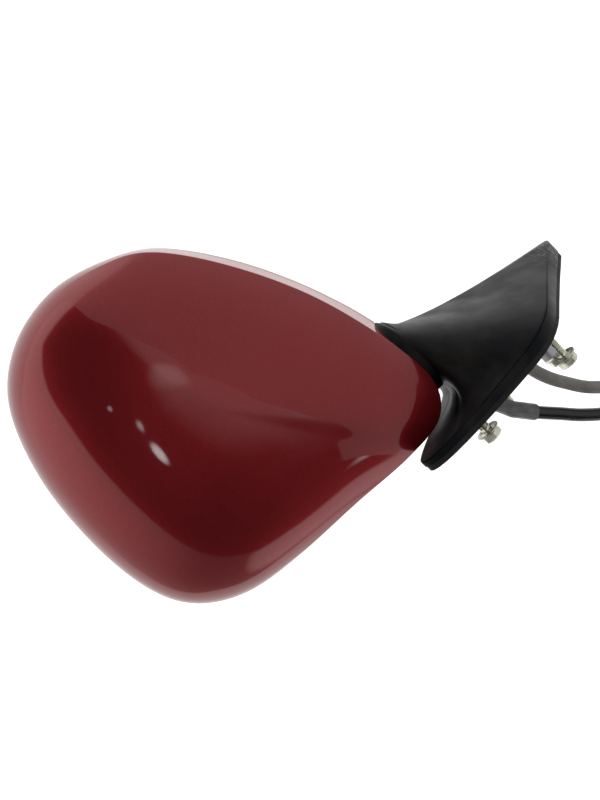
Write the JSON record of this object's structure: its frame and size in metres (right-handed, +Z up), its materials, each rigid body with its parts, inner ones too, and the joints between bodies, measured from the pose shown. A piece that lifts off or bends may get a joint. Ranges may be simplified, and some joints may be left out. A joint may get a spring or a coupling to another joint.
{
  "type": "car side mirror",
  "caption": "Left-hand door mirror: painted teardrop head with tilting heated glass, folding on a black moulded arm with a bolted flange and trailing cables.",
  "frame": {"origin": "centre of the bolt circle on the face that meets the door", "axes": "-X out of the mounting face into the door, +X outboard, -Y towards the front of the car, +Z up"},
  "size_m": [0.295, 0.1368, 0.4876],
  "materials": {
    "black_plastic": "satin moulded",
    "casting": "as cast",
    "foam": "closed-cell foam",
    "rubber": "matt",
    "zinc_bolt": "yellow zinc",
    "zinc_washer": "yellow zinc",
    "sintered": "sintered",
    "tube_steel": "plated",
    "spring_steel": "oiled",
    "retainer_steel": "plated",
    "grey_sheath": "extruded sheath",
    "ivory_nylon": "moulded",
    "black_sleeve": "smooth sleeve",
    "grey_tape": "wound tape",
    "black_nylon": "moulded",
    "red_paint": "metallic clear coat",
    "red_paint_rear": "metallic clear coat",
    "frame_alloy": "as cast",
    "acetal": "moulded",
    "screw_steel": "plated",
    "actuator_plastic": "moulded",
    "motor_steel": "plated",
    "worm_brass": "machined",
    "gimbal_plastic": "moulded",
    "carrier_plastic": "moulded",
    "heater_foil": "printed film",
    "mirror": "silvered glass"
  },
  "bodies": {
    "base": {"base_cover": "black_plastic", "base_casting": "casting", "mount_gasket": "foam", "cable_grommet": "rubber", "mounting_bolts": "zinc_bolt", "bolt_washers": "zinc_washer", "detent_ring": "sintered", "pivot_tube": "tube_steel", "fold_spring": "spring_steel", "spring_retainer": "retainer_steel", "grey_cable": "grey_sheath", "grey_connector": "ivory_nylon", "black_harness": "black_sleeve", "harness_tape": "grey_tape", "black_connector": "black_nylon"},
    "head": {"front_cap": "red_paint", "rear_shell": "red_paint_rear", "head_frame": "frame_alloy", "pivot_bush": "acetal", "shell_screws": "screw_steel", "actuator_screws": "screw_steel", "actuator_front": "actuator_plastic", "actuator_rear": "actuator_plastic", "pitch_motor": "motor_steel", "yaw_motor": "motor_steel"},
    "gimbal": {"gimbal_ring": "gimbal_plastic"},
    "glass": {"glass_carrier": "carrier_plastic", "heater_pad": "heater_foil", "mirror_glass": "mirror"},
    "pitch_pusher_body": {"pitch_pusher": "acetal"},
    "yaw_pusher_body": {"yaw_pusher": "acetal"},
    "pitch_wheel_body": {"pitch_wheel": "acetal"},
    "yaw_wheel_body": {"yaw_wheel": "acetal"},
    "pitch_worm_body": {"pitch_worm": "worm_brass"},
    "yaw_worm_body": {"yaw_worm": "worm_brass"}
  },
  "joints": [
    {"name": "head_fold", "type": "hinge", "parent": "base", "child": "head", "pos_m": [0.042, 0, 0.03], "axis": [0, 0, 1], "range_deg": [0, 55]},
    {"name": "glass_pitch", "type": "hinge", "parent": "head", "child": "gimbal", "pos_m": [0.108, 0.024, 0.118], "axis": [1, 0, 0], "range_deg": [-6.5, 6.5]},
    {"name": "glass_yaw", "type": "hinge", "parent": "gimbal", "child": "glass", "pos_m": [0.108, 0.024, 0.118], "axis": [0, 0, 1], "range_deg": [-6.5, 6.5]},
    {"name": "pitch_push", "type": "slide", "parent": "head", "child": "pitch_pusher_body", "axis": [0, 1, 0], "range_m": [-0.0033, 0.0033]},
    {"name": "yaw_push", "type": "slide", "parent": "head", "child": "yaw_pusher_body", "axis": [0, 1, 0], "range_m": [-0.0033, 0.0033]},
    {"name": "pitch_wheel_turn", "type": "hinge", "parent": "head", "child": "pitch_wheel_body", "pos_m": [0.108, 0.004, 0.09], "axis": [0, 1, 0], "range_deg": [-96, 96]},
    {"name": "yaw_wheel_turn", "type": "hinge", "parent": "head", "child": "yaw_wheel_body", "pos_m": [0.136, 0.004, 0.118], "axis": [0, 1, 0], "range_deg": [-96, 96]},
    {"name": "pitch_worm_turn", "type": "hinge", "parent": "head", "child": "pitch_worm_body", "pos_m": [0.108, 0.004, 0.104], "axis": [1, 0, 0], "range_deg": [-384, 384]},
    {"name": "yaw_worm_turn", "type": "hinge", "parent": "head", "child": "yaw_worm_body", "pos_m": [0.122, 0.004, 0.118], "axis": [0, 0, 1], "range_deg": [-384, 384]}
  ],
  "couplings": [
    {"joint": "pitch_push", "follows": "glass_pitch", "m_per_rad": 0.028},
    {"joint": "pitch_wheel_turn", "follows": "glass_pitch", "ratio": 14.66},
    {"joint": "pitch_worm_turn", "follows": "glass_pitch", "ratio": 58.64},
    {"joint": "yaw_push", "follows": "glass_yaw", "m_per_rad": 0.028},
    {"joint": "yaw_wheel_turn", "follows": "glass_yaw", "ratio": 14.66},
    {"joint": "yaw_worm_turn", "follows": "glass_yaw", "ratio": 58.64}
  ]
}
